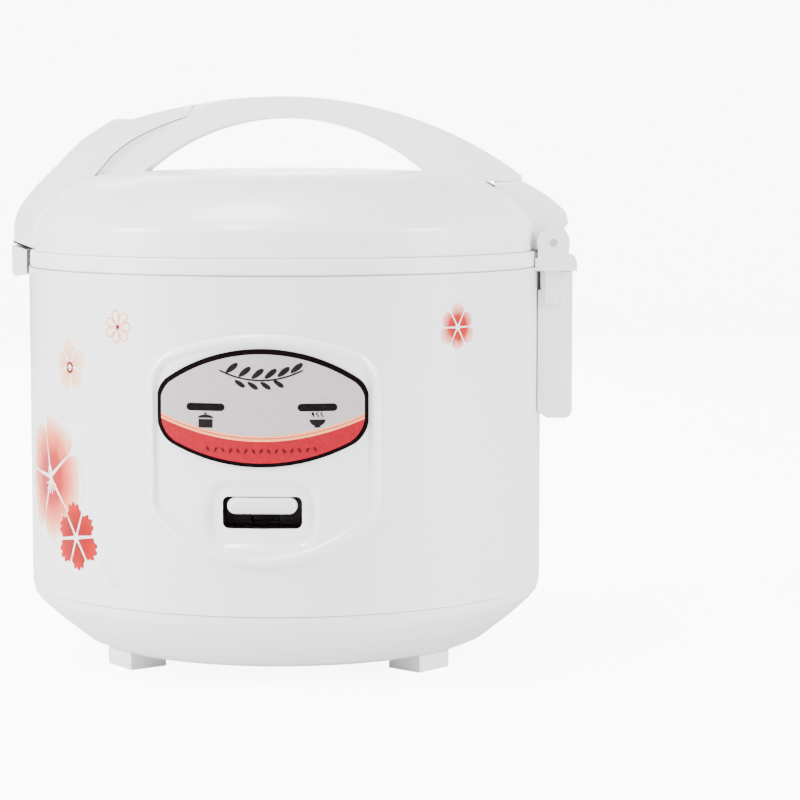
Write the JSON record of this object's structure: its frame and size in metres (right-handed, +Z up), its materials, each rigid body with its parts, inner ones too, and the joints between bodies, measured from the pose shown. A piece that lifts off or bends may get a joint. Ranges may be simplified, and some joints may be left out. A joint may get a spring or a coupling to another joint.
{
  "type": "electric rice cooker",
  "caption": "Round upright electric rice cooker with a hinged arch-handled lid, one-key front panel and lift-out inner pot.",
  "frame": {"origin": "on the cooker's own axis, in the plane its feet stand on", "axes": "+Z up along the cooker's axis; -Y towards the control panel; +X towards the lid hinge, -X towards the lid latch"},
  "size_m": [0.2792, 0.2595, 0.2758],
  "materials": {
    "shell_white": "smooth gloss",
    "sleeve_paint": "gloss enamel with printed flowers",
    "trim_white": "smooth gloss",
    "panel_white": "high gloss",
    "panel_black": "gloss",
    "fascia_print": "printed and lacquered",
    "lens_dark": "clear gloss",
    "key_white": "pearl gloss",
    "dark_plastic": "moulded",
    "base_white": "satin",
    "board": "fibre board",
    "lamp_amber": "tinted",
    "plated_steel": "zinc plated",
    "spring_steel": "drawn wire",
    "well_steel": "drawn sheet",
    "heater_cast": "cast and turned",
    "cap_alu": "pressed, satin",
    "inner_lid_alu": "satin",
    "ferrite": "sintered",
    "brass_pin": "drawn",
    "wire_cover": "silicone sleeve",
    "silicone": "translucent silicone",
    "nonstick": "speckled non-stick coating"
  },
  "bodies": {
    "cooker": {"base_pan": "base_white", "foot_front_left": "base_white", "foot_front_right": "base_white", "foot_rear_left": "base_white", "foot_rear_right": "base_white", "base_screws": "plated_steel", "chamber_posts": "plated_steel", "outer_sleeve": "sleeve_paint", "top_ring": "trim_white", "inner_shell": "well_steel", "heating_plate": "heater_cast", "heater_terminals": "plated_steel", "plate_legs": "plated_steel", "thermostat_tube": "plated_steel", "lever_bracket": "plated_steel", "lever_pin": "plated_steel", "contact_block": "dark_plastic", "keep_warm_thermostat": "dark_plastic", "thermal_fuse": "plated_steel", "front_bezel": "panel_white", "panel_frame": "panel_black", "fascia_plate": "fascia_print", "lamp_lenses": "lens_dark", "lamp_board": "board", "indicator_lamps": "lamp_amber", "switch_shroud": "dark_plastic", "inlet_housing": "dark_plastic", "inlet_pins": "brass_pin", "internal_wires": "wire_cover", "hinge_bracket": "trim_white", "hinge_screws": "plated_steel", "hinge_pin": "plated_steel", "lid_spring": "spring_steel", "latch_spring": "spring_steel", "latch_pin": "plated_steel", "magnet_spring": "spring_steel", "sensor_spring": "spring_steel"},
    "lid": {"lid_cover": "shell_white", "lid_liner": "trim_white", "inner_lid": "inner_lid_alu", "inner_lid_seal": "silicone", "inner_lid_grommet": "silicone", "handle": "shell_white", "nose_cover": "shell_white", "hinge_cover": "shell_white", "lid_keeper": "plated_steel", "handle_screws": "plated_steel", "steam_valve_base": "trim_white"},
    "release": {"release_button": "shell_white", "latch_hook": "plated_steel"},
    "lever": {"cook_lever": "plated_steel"},
    "key": {"cook_key": "key_white", "key_link": "dark_plastic"},
    "magnet": {"lower_magnet": "ferrite", "magnet_rod": "plated_steel"},
    "sensor": {"sensor_cap": "cap_alu", "upper_magnet": "ferrite"},
    "valve": {"steam_valve_cap": "trim_white"},
    "pot": {"inner_pot": "nonstick"},
    "collector": {"dew_collector": "shell_white"}
  },
  "joints": [
    {"name": "lid_open", "type": "hinge", "parent": "cooker", "child": "lid", "pos_m": [0.133, 0, 0.2046], "axis": [0, 1, 0], "range_deg": [0, 85]},
    {"name": "release_rock", "type": "hinge", "parent": "cooker", "child": "release", "pos_m": [-0.1205, 0, 0.1963], "axis": [0, -1, 0], "range_deg": [0, 7], "stiffness_Nm_per_rad": 0.2, "springref_deg": -11.46},
    {"name": "key_press", "type": "slide", "parent": "cooker", "child": "key", "axis": [0, 0, -1], "range_m": [0, 0.0063], "stiffness_N_per_m": 120, "springref_m": -0.006},
    {"name": "lever_turn", "type": "hinge", "parent": "cooker", "child": "lever", "pos_m": [0, -0.05, 0.048], "axis": [1, 0, 0], "range_deg": [0, 6.56]},
    {"name": "magnet_lift", "type": "slide", "parent": "cooker", "child": "magnet", "axis": [0, 0, 1], "range_m": [0, 0.00606], "deforming": ["magnet_spring"]},
    {"name": "sensor_press", "type": "slide", "parent": "cooker", "child": "sensor", "axis": [0, 0, -1], "range_m": [0, 0.0015], "stiffness_N_per_m": 600, "springref_m": -0.004, "deforming": ["sensor_spring"]},
    {"name": "valve_lift", "type": "slide", "parent": "lid", "child": "valve", "axis": [0, 0, 1], "range_m": [0, 0.02]},
    {"name": "pot_turn", "type": "hinge", "parent": "cooker", "child": "pot", "pos_m": [0, 0, 0.1], "axis": [0, 0, 1], "continuous": true},
    {"name": "collector_pull", "type": "slide", "parent": "cooker", "child": "collector", "axis": [1, 0, 0], "range_m": [0, 0.03]}
  ],
  "couplings": [
    {"joint": "lever_turn", "follows": "key_press", "rad_per_m": 18.122},
    {"joint": "magnet_lift", "follows": "key_press", "ratio": 0.95841}
  ]
}
